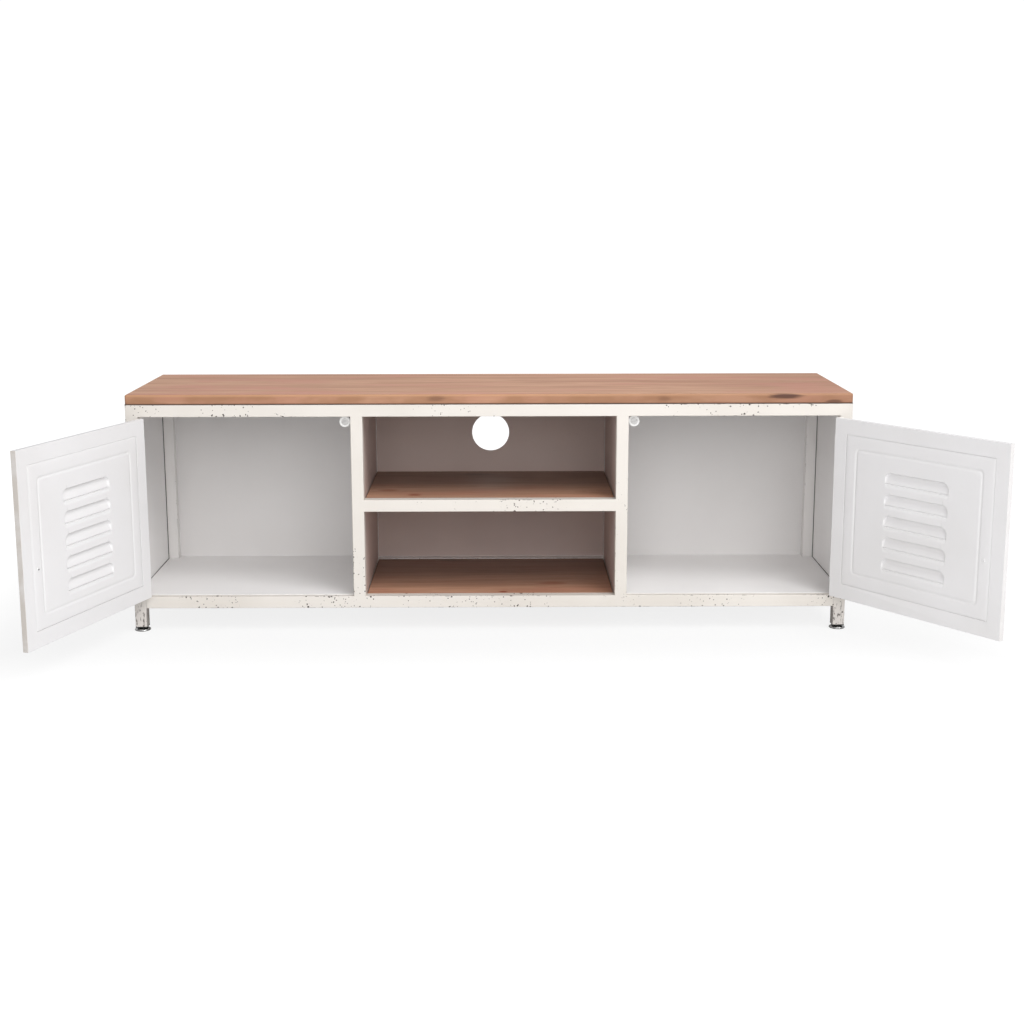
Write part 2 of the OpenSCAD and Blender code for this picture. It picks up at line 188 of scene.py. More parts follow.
def noise(tree, place, scale, detail=2.0, roughness=0.5, stretch=(1, 1, 1), shift=(0, 0, 0)):
    moved = node(tree, "Mapping", {"Vector": place, "Scale": stretch, "Location": shift})
    return node(tree, "TexNoise", {"Vector": moved.outputs[0], "Scale": scale, "Detail": detail,
                                   "Roughness": roughness})


def blend_colour(tree, amount, first, second):
    return node(tree, "Mix", {0: amount, 6: first, 7: second}, data_type="RGBA").outputs[2]


def coat(tree, shader, colour, roughness, height, strength, distance):
    """Gives the shader its colour and roughness, and a bump from the height."""
    tree.links.new(colour, shader.inputs["Base Color"])
    if isinstance(roughness, bpy.types.NodeSocket):
        tree.links.new(roughness, shader.inputs["Roughness"])
    made = node(tree, "Bump", {"Height": height, "Strength": strength, "Distance": distance})
    tree.links.new(made.outputs[0], shader.inputs["Normal"])


def paint_tones(tree, place, base, shade):
    """Colour and height of sprayed paint: uneven tone, faint specks and an orange-peel surface."""
    tone = noise(tree, place, 4.5, 3).outputs[0]
    colour = blend_colour(tree, ramp(tree, tone, 0.38, 0.72), base, shade)
    speck = noise(tree, place, 160, 2).outputs[0]
    colour = blend_colour(tree, ramp(tree, speck, 0.62, 0.82, 0, 0.5), colour, shade)
    peel = maths(tree, "MULTIPLY", noise(tree, place, 55, 2).outputs[0], 0.5)
    fine = maths(tree, "MULTIPLY", noise(tree, place, 700, 1).outputs[0], 0.12)
    return colour, maths(tree, "ADD", peel, fine)


def sprayed_paint(name, base, shade, gloss=0.42):
    material, tree, shader, place = blank(name, gloss)
    colour, height = paint_tones(tree, place, base, shade)
    worn = ramp(tree, noise(tree, place, 22, 3).outputs[0], 0.35, 0.7, gloss, gloss + 0.12)
    coat(tree, shader, colour, worn, height, 0.35, 0.0005)
    return material


def flakes(tree, place, patch):
    """Small ragged chips that grow where the patch is strong, from three sizes of cell. A cell holds
    a chip if its own random number is over the share, and the reach is the chip's size in it."""
    wobble = noise(tree, place, 420, 2).outputs["Color"]
    torn = node(tree, "VectorMath", {0: wobble, "Scale": 0.0030}, operation="SCALE").outputs[0]
    torn = node(tree, "VectorMath", {0: place, 1: torn}, operation="ADD").outputs[0]
    marks = None
    for scale, share, reach in CHIP_SIZES:
        cell = node(tree, "TexVoronoi", {"Vector": torn, "Scale": scale})
        pick = node(tree, "SeparateColor", {0: cell.outputs["Color"]}).outputs
        size = maths(tree, "MULTIPLY", maths(tree, "GREATER_THAN", pick[0], share), reach)
        size = maths(tree, "MULTIPLY", size, maths(tree, "ADD", pick[1], 0.35))
        size = maths(tree, "MULTIPLY", size, patch)
        mark = ramp(tree, maths(tree, "SUBTRACT", size, cell.outputs["Distance"]), 0.0, 0.03)
        marks = mark if marks is None else maths(tree, "MAXIMUM", marks, mark)
    return marks


def tube_finish():
    """Cream paint with chips along the tube's corners, a cooler white towards the back that is lighter as
    painted light, and the legs scuffed low down, with painted shade on their inner faces there.
    """
    gloss = 0.42
    material, tree, shader, place = blank("chipped_cream_paint", gloss)
    colour, height = paint_tones(tree, place, CREAM, CREAM_SHADE)
    across = axes(tree, node(tree, "UVMap", uv_map="tube").outputs[0])[0]
    corner = maths(tree, "ABSOLUTE", maths(tree, "SUBTRACT", across, 0.5))
    x, y, z = axes(tree, place)
    # Towards the back the paint turns a cooler white that is also lighter: partly two-tone paint, partly
    # painted light.
    colour = blend_colour(tree, ramp(tree, y, 0.105, 0.125, 0, 0.8), colour, REAR_WHITE_AND_PAINTED_LIGHT)
    patch = ramp(tree, noise(tree, place, 9.5, 3, shift=(3.1, 0, 0)).outputs[0], 0.42, 0.60)
    patch = maths(tree, "MULTIPLY", patch, ramp(tree, y, 0.10, 0.0, 0.45, 1.0))
    near_corner = ramp(tree, corner, 0.18, 0.46, 0.62, 1.0)
    marks = flakes(tree, place, maths(tree, "MULTIPLY", patch, near_corner))
    rub = ramp(tree, noise(tree, place, 60, 3, 0.6).outputs[0], 0.56, 0.62)
    rub = maths(tree, "MULTIPLY", rub, ramp(tree, corner, 0.455, 0.478))
    rub = maths(tree, "MULTIPLY", rub, ramp(tree, patch, 0.15, 0.6))
    marks = maths(tree, "MAXIMUM", marks, maths(tree, "MULTIPLY", rub, 0.85))
    leg_x = maths(tree, "GREATER_THAN", maths(tree, "ABSOLUTE", x), LEG_X)
    leg_y = maths(tree, "GREATER_THAN", maths(tree, "ABSOLUTE", y), LEG_Y)
    low = ramp(tree, z, SCUFFS_START, SCUFFS_FULL)
    low = maths(tree, "MULTIPLY", low, maths(tree, "MULTIPLY", leg_x, leg_y))
    colour = blend_colour(tree, maths(tree, "MULTIPLY", low, 0.75), colour, WORN_LEG)
    scratch = ramp(tree, noise(tree, place, 240, 4, 0.65, stretch=(1, 1, 0.30)).outputs[0], 0.53, 0.62)
    # Low on the legs, their inner faces are painted dark as painted shade, together with the scuffs.
    inner = ramp(tree, maths(tree, "ABSOLUTE", x), LEG_INNER_X + 0.0009, LEG_INNER_X)
    scuffs_and_shade = maths(tree, "MAXIMUM", scratch, maths(tree, "MULTIPLY", inner, 0.7))
    scuffs_and_shade = maths(tree, "MULTIPLY", maths(tree, "MULTIPLY", low, scuffs_and_shade), 0.8)
    marks = maths(tree, "MAXIMUM", marks, scuffs_and_shade)
    colour = blend_colour(tree, marks, colour, CHIP)
    height = maths(tree, "SUBTRACT", height, marks)
    coat(tree, shader, colour, ramp(tree, marks, 0, 1, gloss, 0.75), height, 0.35, 0.0005)
    return material


def add_piece(name, bm, material, body, smooth=35, flat_sides=False):
    """Makes a piece from the mesh, smooth except at its sharp edges, and hangs it on its body."""
    for edge in bm.edges:
        edge.smooth = len(edge.link_faces) != 2 or edge.calc_face_angle() < math.radians(smooth)
    for face in bm.faces:
        face.smooth = True
    mesh = bpy.data.meshes.new(name)
    bm.to_mesh(mesh)
    bm.free()
    mesh.materials.append(material)
    piece = bpy.data.objects.new(name, mesh)
    bpy.context.scene.collection.objects.link(piece)
    if flat_sides:
        piece.modifiers.new("flat_sides", "WEIGHTED_NORMAL").keep_sharp = True
    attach(piece, body)
    return piece


def block(bm, low, high):
    """A square-edged block between two corners."""
    verts = bmesh.ops.create_cube(bm, size=1)["verts"]
    bmesh.ops.scale(bm, vec=high - low, verts=verts)
    bmesh.ops.translate(bm, vec=(low + high) / 2, verts=verts)


def round_edges(bm, edges, width, segments):
    bmesh.ops.bevel(bm, geom=edges, offset=width, offset_type="OFFSET", segments=segments,
                    profile=0.5, affect="EDGES", material=-1)


def square_tube(name, material):
    """A rounded tube on the node's own box; a rail runs into its posts as far as their corners round."""
    low, high = (Vector(corner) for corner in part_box(name))
    size = high - low
    along = max(range(3), key=lambda axis: size[axis])
    grow = Vector((0, 0, 0))
    if not name.startswith("post_"):
        grow[along] = TUBE_CORNER
    low, high = low - grow, high + grow
    bm = bmesh.new()
    block(bm, low, high)
    lengthwise = [e for e in bm.edges if abs((e.verts[0].co - e.verts[1].co)[along]) > TUBE * 1.5]
    round_edges(bm, lengthwise, TUBE_CORNER, 4)
    bm.normal_update()
    layer = bm.loops.layers.uv.new("tube")
    cross = [axis for axis in range(3) if axis != along]
    for face in bm.faces:
        axis = min(cross, key=lambda one: abs(face.normal[one]))
        for loop in face.loops:
            loop[layer].uv = ((loop.vert.co[axis] - low[axis]) / TUBE, loop.vert.co[along])
    piece = add_piece("tube_" + name, bm, material, "cabinet", flat_sides=True)
    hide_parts(name)


tube_paint = tube_finish()
for name in sorted(frame["nodes"]):
    if name.startswith(("post_", "rail_", "divider_post_", "cross_rail_")):
        square_tube(name, tube_paint)

# ---- Sheet panels and floors ----
# Thin steel sheet tack-welded between the tubes: white in the closed bays and matt brown-grey in the
# open one, that brown-grey being painted shade, so each divider has a face of each. The floors and
# side sheets take a lighter white than the back sheets, as painted light. The sheet that carries the
# top is painted a dark brown-black, as painted shadow under the top.
# The floors and side sheets take a lighter white than the back sheets: painted light.
SIDE_AND_FLOOR_PAINTED_LIGHT = (0.925, 0.908, 0.902, 1)
SIDE_AND_FLOOR_PAINTED_LIGHT_TONE = (0.890, 0.874, 0.868, 1)
PANEL_PAINT = (0.795, 0.776, 0.768, 1)
PANEL_SHADE = (0.765, 0.745, 0.736, 1)
# The open bay's darker brown-grey is painted shade.
BAY_PAINTED_SHADE = (0.600, 0.480, 0.440, 1)
BAY_PAINTED_SHADE_TONE = (0.530, 0.425, 0.395, 1)
# The carrier sheet's dark brown-black is painted shadow under the top.
CARRIER_PAINTED_SHADOW = (0.085, 0.055, 0.042, 1)
CARRIER_PAINTED_SHADOW_TONE = (0.130, 0.088, 0.070, 1)
sheet_paint = sprayed_paint("cream_sheet_paint", PANEL_PAINT, PANEL_SHADE, 0.5)
side_and_floor_painted_light = sprayed_paint("cream_paint_painted_light", SIDE_AND_FLOOR_PAINTED_LIGHT, SIDE_AND_FLOOR_PAINTED_LIGHT_TONE, 0.45)
bay_painted_shade = sprayed_paint("brown_grey_painted_shade", BAY_PAINTED_SHADE, BAY_PAINTED_SHADE_TONE, 0.55)
carrier_painted_shadow = sprayed_paint("carrier_painted_shadow_paint", CARRIER_PAINTED_SHADOW, CARRIER_PAINTED_SHADOW_TONE, 0.6)


def finish_node(name, material, edge=0.0003, segments=2, angle=30):
    """Paints a CAD node as it stands, with its edges softly rounded."""
    piece = frame["nodes"][name]
    piece.data.materials.clear()
    piece.data.materials.append(material)
    weld = piece.modifiers.new("weld", "WELD")
    weld.merge_threshold = 0.000005
    rounding = piece.modifiers.new("rounding", "BEVEL")
    rounding.width = edge
    rounding.segments = segments
    rounding.limit_method = "ANGLE"
    rounding.angle_limit = math.radians(angle)
    rounding.harden_normals = True


for name in ("back_panel_left", "back_panel_right", "shelf_bearers"):
    finish_node(name, sheet_paint)
for name in ("side_panel_left", "side_panel_right", "floor_left", "floor_right"):
    finish_node(name, side_and_floor_painted_light)
finish_node("back_panel_middle", bay_painted_shade)
# Each divider is brown-grey as painted shade on its face towards the open bay, and white on the other.
divider_paint_with_painted_shade, tree, shader, place = blank("divider_sheet_painted_shade", 0.52)
inside, height = paint_tones(tree, place, BAY_PAINTED_SHADE, BAY_PAINTED_SHADE_TONE)
outside = paint_tones(tree, place, PANEL_PAINT, PANEL_SHADE)[0]
low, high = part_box("divider_panel_right")
divider_middle = (low[0] + high[0]) / 2
beyond = maths(tree, "GREATER_THAN", maths(tree, "ABSOLUTE", axes(tree, place)[0]), divider_middle)
coat(tree, shader, blend_colour(tree, beyond, inside, outside), 0.52, height, 0.35, 0.0005)
for name in ("divider_panel_left", "divider_panel_right"):
    finish_node(name, divider_paint_with_painted_shade)
# The carrier sheet is painted dark as painted shadow under the top.
finish_node("top_sheet", carrier_painted_shadow)

# ---- Dark seams of the side panels ----
# The side sheets stop short of the rear post and the floor, and a thin dark strip along each joint
# stands for the shadow in that gap: painted shadow.
SEAM_W = 0.0011
SEAM_DARK = (0.03, 0.03, 0.03, 1)
SEAM_GREY = (0.12, 0.11, 0.10, 1)
# A dark grey-black: painted shadow in the side panels' seams, also used for the left knob screw's bare
# socket.
seam_shadow_and_socket_dark, tree, shader, place = blank("painted_seam_shadow_and_bare_socket", 0.9)
shadow_mix = noise(tree, place, 90, 3).outputs[0]
coat(tree, shader, blend_colour(tree, shadow_mix, SEAM_DARK, SEAM_GREY), 0.9, shadow_mix, 0.3, 0.0004)
for side, sign in (("left", -1), ("right", 1)):
    low, high = (Vector(corner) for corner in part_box("side_panel_" + side))
    inner = high.x if sign < 0 else low.x
    outer = inner - sign * SEAM_W
    left, right = min(inner, outer), max(inner, outer)
    floor_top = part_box("floor_" + side)[1][2]
    rear, seam_top = high.y - SEAM_W, floor_top + SEAM_W * 0.6
    bm = bmesh.new()
    block(bm, Vector((left, rear, floor_top)), Vector((right, high.y, high.z)))
    block(bm, Vector((left, low.y, floor_top)), Vector((right, rear, seam_top)))
    round_edges(bm, bm.edges[:], SEAM_W * 0.15, 2)
    piece = add_piece("panel_seam_" + side, bm, seam_shadow_and_socket_dark, "cabinet")

# ---- Wood top ----
# Softwood boards glued edge to edge, the front and rear ones half as wide as the two between them,
# planed, stained a tan red-brown and waxed. The edges are rounded and took more of the orange in the
# stain, and the front one shows the ends of a few knots.
TOP_EDGE = 0.0028
TOP_CORNER = 0.004
TOP_LOW, TOP_HIGH = (Vector(corner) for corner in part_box("tabletop"))
EDGE_START, EDGE_FULL = 0.0025, 0.0008
ARRIS_START, ARRIS_FULL = 0.0055, 0.0015
UNDER_START, UNDER_FULL = 0.0035, 0.0005
BOARD_W = 0.100
STAIN_LIGHT = (0.630, 0.368, 0.240, 1)
STAIN_MID = (0.468, 0.243, 0.158, 1)
STAIN_DARK = (0.230, 0.105, 0.062, 1)
STAIN_ROSE = (0.585, 0.280, 0.205, 1)
EDGE_ORANGE = (0.320, 0.160, 0.082, 1)
ARRIS_HIGHLIGHT = (0.520, 0.285, 0.155, 1)
KNOT_BROWN = (0.105, 0.046, 0.030, 1)
EDGE_KNOTS = [((0.488, -0.150, 0.3975), (0.034, 0.014, 0.0060), 1.0),
              ((0.568, -0.150, 0.3890), (0.016, 0.010, 0.0035), 0.75),
              ((-0.088, -0.150, 0.395), (0.022, 0.010, 0.0060), 0.45),
              ((0.288, -0.150, 0.394), (0.018, 0.010, 0.0060), 0.35)]


def board_grain(tree, place, light, middle, dark, rose, board):
    """Colour and height of planed boards: lengthwise grain that changes from board to board,
    broad blotches where the stain took unevenly, and a few knots."""
    rows = maths(tree, "DIVIDE", axes(tree, place)[1], board)
    row = maths(tree, "FLOOR", rows)
    along, depth = maths(tree, "MULTIPLY", row, 3.7), maths(tree, "MULTIPLY", row, 1.9)
    away = node(tree, "CombineXYZ", {0: along, 2: depth}).outputs[0]
    here = node(tree, "VectorMath", {0: place, 1: away}, operation="ADD").outputs[0]
    sway = noise(tree, here, 2.2, 2, stretch=(1, 2.5, 2.5)).outputs["Color"]
    push = node(tree, "VectorMath", {0: sway, "Scale": 0.055}, operation="SCALE").outputs[0]
    bent = node(tree, "VectorMath", {0: here, 1: push}, operation="ADD").outputs[0]
    grain = noise(tree, bent, 3.2, 6, 0.62, stretch=(0.55, 13, 13)).outputs[0]
    fine = noise(tree, bent, 11, 5, 0.7, stretch=(0.35, 22, 22)).outputs[0]
    blotch = noise(tree, bent, 6.5, 3, 0.55, stretch=(0.8, 2.2, 2.2)).outputs[0]
    colour = blend_colour(tree, ramp(tree, grain, 0.36, 0.62), middle, light)
    colour = blend_colour(tree, ramp(tree, blotch, 0.46, 0.66, 0, 0.8), colour, rose)
    colour = blend_colour(tree, ramp(tree, blotch, 0.46, 0.28, 0, 0.5), colour, middle)
    colour = blend_colour(tree, ramp(tree, fine, 0.50, 0.80, 0, 0.5), colour, dark)
    stretched = node(tree, "Mapping", {"Vector": bent, "Scale": (0.75, 1.9, 1.9)}).outputs[0]
    knot = node(tree, "TexVoronoi", {"Vector": stretched, "Scale": 5.5})
    pick = node(tree, "SeparateColor", {0: knot.outputs["Color"]}).outputs[0]
    rare = maths(tree, "GREATER_THAN", pick, 0.78)
    spot = maths(tree, "MULTIPLY", ramp(tree, knot.outputs["Distance"], 0.19, 0.03, 0, 0.7), rare)
    colour = blend_colour(tree, spot, colour, dark)
    within = maths(tree, "ABSOLUTE", maths(tree, "SUBTRACT", maths(tree, "FRACT", rows), 0.5))
    joint = ramp(tree, within, 0.4925, 0.4985)
    colour = blend_colour(tree, maths(tree, "MULTIPLY", joint, 0.3), colour, dark)
    height = maths(tree, "SUBTRACT", maths(tree, "MULTIPLY", fine, 0.45), joint)
    return colour, fine, height


def knot_mark(tree, place, fine, centre, reach, depth, colour, brown):
    """Darkens the colour inside a ragged ellipsoid, where the boards cut through a knot."""
    away = node(tree, "VectorMath", {0: place, 1: centre}, operation="SUBTRACT").outputs[0]
    away = node(tree, "VectorMath", {0: away, 1: reach}, operation="DIVIDE").outputs[0]
    away = node(tree, "VectorMath", {0: away}, operation="LENGTH").outputs["Value"]
    ragged = maths(tree, "ADD", away, maths(tree, "MULTIPLY", maths(tree, "SUBTRACT", fine, 0.5), 1.6))
    return blend_colour(tree, ramp(tree, ragged, 1.0, 0.35, 0, depth), colour, brown)


def top_finish():
    """Stained boards whose edges are more orange, with a painted highlight along the upper rounded edge and
    painted shade along the lower one and towards the right.
    """
    material, tree, shader, place = blank("stained_top_boards", 0.5)
    shader.inputs["Specular IOR Level"].default_value = 0.32
    colour, fine, height = board_grain(tree, place, STAIN_LIGHT, STAIN_MID, STAIN_DARK, STAIN_ROSE, BOARD_W)
    x, y, z = axes(tree, place)
    deep = ramp(tree, maths(tree, "ABSOLUTE", y), TOP_HIGH.y - EDGE_START, TOP_HIGH.y - EDGE_FULL)
    wide = ramp(tree, maths(tree, "ABSOLUTE", x), TOP_HIGH.x - EDGE_START, TOP_HIGH.x - EDGE_FULL)
    edge = maths(tree, "MAXIMUM", deep, wide)
    uneven = ramp(tree, noise(tree, place, 13, 3, stretch=(1, 1, 2)).outputs[0], 0.36, 0.62, 0.50, 0.88)
    colour = blend_colour(tree, maths(tree, "MULTIPLY", edge, uneven), colour, EDGE_ORANGE)
    # A painted highlight along the upper rounded edge.
    arris_highlight = ramp(tree, z, TOP_HIGH.z - ARRIS_START, TOP_HIGH.z - ARRIS_FULL, 0, 0.7)
    colour = blend_colour(tree, maths(tree, "MULTIPLY", edge, arris_highlight), colour, ARRIS_HIGHLIGHT)
    # Painted shade along the lower rounded edge.
    under_shade = ramp(tree, z, TOP_LOW.z + UNDER_START, TOP_LOW.z + UNDER_FULL, 0, 0.30)
    colour = blend_colour(tree, maths(tree, "MULTIPLY", edge, under_shade), colour, STAIN_DARK)
    # Darker towards the right, and more so along the edges, as painted shade.
    colour = blend_colour(tree, ramp(tree, x, 0.15, 0.62, 0, 0.22), colour, STAIN_DARK)
    right_side_shade = maths(tree, "MULTIPLY", edge, ramp(tree, x, 0.05, 0.35, 0, 0.20))
    colour = blend_colour(tree, right_side_shade, colour, STAIN_DARK)
    for centre, reach, depth in EDGE_KNOTS:
        colour = knot_mark(tree, place, fine, centre, reach, depth, colour, KNOT_BROWN)
    coat(tree, shader, colour, ramp(tree, fine, 0.3, 0.8, 0.46, 0.62), height, 0.30, 0.0006)
    return material


def sharp_edges(bm):
    bm.normal_update()
    return [e for e in bm.edges if len(e.link_faces) == 2 and e.calc_face_angle() > math.radians(60)]


def rounded_board(name, node_name, material, corner, edge):
    """A board on the node's own box: corners first, then the upper rim, then a finer lower rim."""
    low, high = (Vector(point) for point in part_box(node_name))
    bm = bmesh.new()
    block(bm, low, high)
    upright = [e for e in bm.edges if abs(e.verts[0].co.z - e.verts[1].co.z) > (high.z - low.z) / 2]
    round_edges(bm, upright, corner, 6)
    round_edges(bm, [e for e in sharp_edges(bm) if e.verts[0].co.z > high.z - edge], edge, 5)
    round_edges(bm, sharp_edges(bm), edge * 0.4, 3)
    piece = add_piece(name, bm, material, "cabinet", flat_sides=True)
    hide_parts(node_name)


rounded_board("top_boards", "tabletop", top_finish(), TOP_CORNER, TOP_EDGE)

# ---- Shelf boards ----
# Two boards of the same wood, painted darker towards the back as painted shade and left nearly matt,
# lying on flat bars in the open bay level with the rails in front of them.
SHELF_LIGHT = (0.560, 0.315, 0.205, 1)
SHELF_MID = (0.405, 0.215, 0.138, 1)
SHELF_DARK = (0.120, 0.056, 0.038, 1)
SHELF_ROSE = (0.465, 0.215, 0.140, 1)
SHELF_BACK_SHADE = (0.175, 0.118, 0.100, 1)
SHELF_KNOT = (0.250, 0.062, 0.030, 1)
SHELF_KNOTS = [((-0.128, -0.104, 0.225), (0.016, 0.011, 0.02), 0.8),
               ((-0.175, -0.062, 0.225), (0.022, 0.012, 0.02), 0.5),
               ((0.022, -0.122, 0.060), (0.009, 0.008, 0.02), 0.9),
               ((0.108, -0.062, 0.060), (0.030, 0.016, 0.02), 0.5)]
SHELF_BOARD_W = 0.128
BACK_SHADE_FRONT, BACK_SHADE_REAR = -0.14, 0.05
shelf_wood, tree, shader, place = blank("stained_shelf_boards", 0.5)
shader.inputs["Specular IOR Level"].default_value = 0.3
colour, fine, height = board_grain(tree, place, SHELF_LIGHT, SHELF_MID, SHELF_DARK, SHELF_ROSE,
                                   SHELF_BOARD_W)
# Painted shade towards the back of the shelves.
back_shade = ramp(tree, axes(tree, place)[1], BACK_SHADE_FRONT, BACK_SHADE_REAR, 0, 0.68)
colour = blend_colour(tree, back_shade, colour, SHELF_BACK_SHADE)
for centre, reach, depth in SHELF_KNOTS:
    colour = knot_mark(tree, place, fine, centre, reach, depth, colour, SHELF_KNOT)
coat(tree, shader, colour, ramp(tree, fine, 0.3, 0.8, 0.48, 0.66), height, 0.30, 0.0006)
for name in ("shelf_middle", "shelf_bottom"):
    rounded_board(name + "_board", name, shelf_wood, 0.001, 0.0008)

# ---- Doors: folded frames ----
# Each door is a flat channel of folded sheet, mitred and welded at the corners, painted a cooler
# white than the cabinet. Along the free edge the paint is rubbed thin and has yellowed.
DOOR_WHITE = (0.795, 0.785, 0.792, 1)
DOOR_SHADE = (0.755, 0.742, 0.742, 1)
RUBBED_EDGE = (0.58, 0.540, 0.500, 1)
HINGE_X, HINGE_Y = -0.579, -0.153
DOOR_REACH = 0.346
RUB_START, RUB_FULL = 0.0007, 0.0001
OPEN = {}
for joint in frame["record"]["behaviour"]["joints"]:
    OPEN[joint["child"].removeprefix("door_")] = math.radians(-joint["range_deg"][0])


def door_finish(side):
    """Cool white paint, rubbed thin along the edge that is furthest from the hinge."""
    sign = 1 if side == "left" else -1
    material, tree, shader, place = blank("white_door_paint_" + side, 0.38)
    colour, height = paint_tones(tree, place, DOOR_WHITE, DOOR_SHADE)
    hinge = (sign * HINGE_X, HINGE_Y, 0)
    outwards = (sign * math.cos(OPEN[side]), -math.sin(OPEN[side]), 0)
    away = node(tree, "VectorMath", {0: place, 1: hinge}, operation="SUBTRACT").outputs[0]
    away = node(tree, "VectorMath", {0: away, 1: outwards}, operation="DOT_PRODUCT").outputs["Value"]
    patchy = ramp(tree, noise(tree, place, 26, 3).outputs[0], 0.3, 0.6, 0.55, 1.0)
    wear = 1.0 if side == "left" else 0.25
    rubbed = ramp(tree, away, DOOR_REACH - RUB_START, DOOR_REACH - RUB_FULL, 0, wear)
    rubbed = maths(tree, "MULTIPLY", rubbed, patchy)
    colour = blend_colour(tree, rubbed, colour, RUBBED_EDGE)
    coat(tree, shader, colour, ramp(tree, rubbed, 0, 1, 0.38, 0.6), height, 0.30, 0.0004)
    return material


door_paint = {side: door_finish(side) for side in ("left", "right")}
for side in ("left", "right"):
    finish_node("door_frame_" + side, door_paint[side], edge=0.0006, segments=3, angle=60)

# ---- Doors: pressed panels ----
# One steel sheet closes each door, pressed with a picture-frame bead and five louvres whose hoods
# open downwards on the outer face. Its edge is tucked behind the folded frame and spot-welded.
DOOR_X, DOOR_Z, DOOR_W, DOOR_H = -0.578, 0.0615, 0.345, 0.302
DOOR_INNER_Y = -0.141
PANEL_INSET = 0.02505
PANEL_ROLL, PANEL_ROLL_W, PANEL_ROLL_CORNER = 0.0006, 0.0045, 0.001
BEAD_INSET, BEAD_HALF, BEAD_DEPTH, BEAD_CORNER = 0.048, 0.0036, 0.0008, 0.006
LOUVRE_W, LOUVRE_H, LOUVRE_PITCH, LOUVRE_DROP = 0.126, 0.019, 0.035, 0.004
LOUVRE_DEPTH, LOUVRE_RISE, LOUVRE_SHOULDER, LOUVRE_LIP = 0.0040, 0.0022, 0.012, 0.0006
SLIT = 0.0004
FOLD_STEP, ROLL_STEP, FLAT_STEP = 0.0008, 0.0015, 0.008
SHEET_GAUGE = 0.001


def hang(bm, side):
    """Turns a piece of the closed left door to the angle its own door stands open, on its own side."""
    centre = Vector((HINGE_X, HINGE_Y, 0))
    turn = Matrix.Translation(centre) @ Matrix.Rotation(-OPEN[side], 4, "Z") @ Matrix.Translation(-centre)
    if side == "right":
        turn = Matrix.Scale(-1, 4, (1, 0, 0)) @ turn
    bmesh.ops.transform(bm, matrix=turn, verts=bm.verts)
    if side == "right":
        bmesh.ops.reverse_faces(bm, faces=bm.faces[:])


def ease(t):
    t = min(max(t, 0.0), 1.0)
    return t * t * (3 - 2 * t)


def rim_distance(u, z, inset, corner):
    """Distance inside a rounded rectangle that lies inset from the door's edges; negative outside."""
    half_w, half_h = DOOR_W / 2 - inset, DOOR_H / 2 - inset
    across = abs(u - DOOR_W / 2) - (half_w - corner)
    up = abs(z - DOOR_H / 2) - (half_h - corner)
    return corner - (math.hypot(max(across, 0), max(up, 0)) + min(max(across, up), 0))


louvre_feet = [DOOR_H / 2 - LOUVRE_DROP + (i - 2) * LOUVRE_PITCH - LOUVRE_H / 2 for i in range(5)]


def louvre_depth(out, up):
    """Depth of a hood at a point out from its middle and up from its slit: a steep fold along the
    top and the rounded shoulders, then a slow return towards the lip."""
    side, top = LOUVRE_W / 2 - out, LOUVRE_H - up
    inside = min(side, top)
    if side < LOUVRE_SHOULDER:
        reach = math.hypot(LOUVRE_SHOULDER - side, max(LOUVRE_SHOULDER - top, 0))
        inside = min(LOUVRE_SHOULDER - reach, top)
    rise = math.sin(min(max(inside, 0) / LOUVRE_RISE, 1) * math.pi / 2)
    lip = 1 - (1 - LOUVRE_LIP / LOUVRE_DEPTH) * ease(1 - up / (LOUVRE_H * 0.7))
    return LOUVRE_DEPTH * rise * lip


def pressed_depth(u, z):
    """How far the sheet is pressed outwards at a point of the door."""
    roll = PANEL_ROLL * (1 - ease(rim_distance(u, z, PANEL_INSET, PANEL_ROLL_CORNER) / PANEL_ROLL_W))
    bead = BEAD_DEPTH * (1 - ease(abs(rim_distance(u, z, BEAD_INSET, BEAD_CORNER)) / BEAD_HALF))
    depth = max(roll, bead)
    out = abs(u - DOOR_W / 2)
    for foot in louvre_feet:
        if -1e-6 < z - foot < LOUVRE_H and out < LOUVRE_W / 2:
            depth = max(depth, louvre_depth(out, z - foot))
    return depth


def cut_lines(first, last, lines):
    """Sorted places to cut the sheet at: the given ones, with wider steps across the flats."""
    marks = sorted({round(line, 6) for line in lines if first + 1e-5 < line < last - 1e-5} | {first, last})
    out = []
    for a, b in zip(marks, marks[1:]):
        steps = max(1, math.ceil((b - a) / FLAT_STEP))
        out += [a + (b - a) * k / steps for k in range(steps)]
    return out[1:]


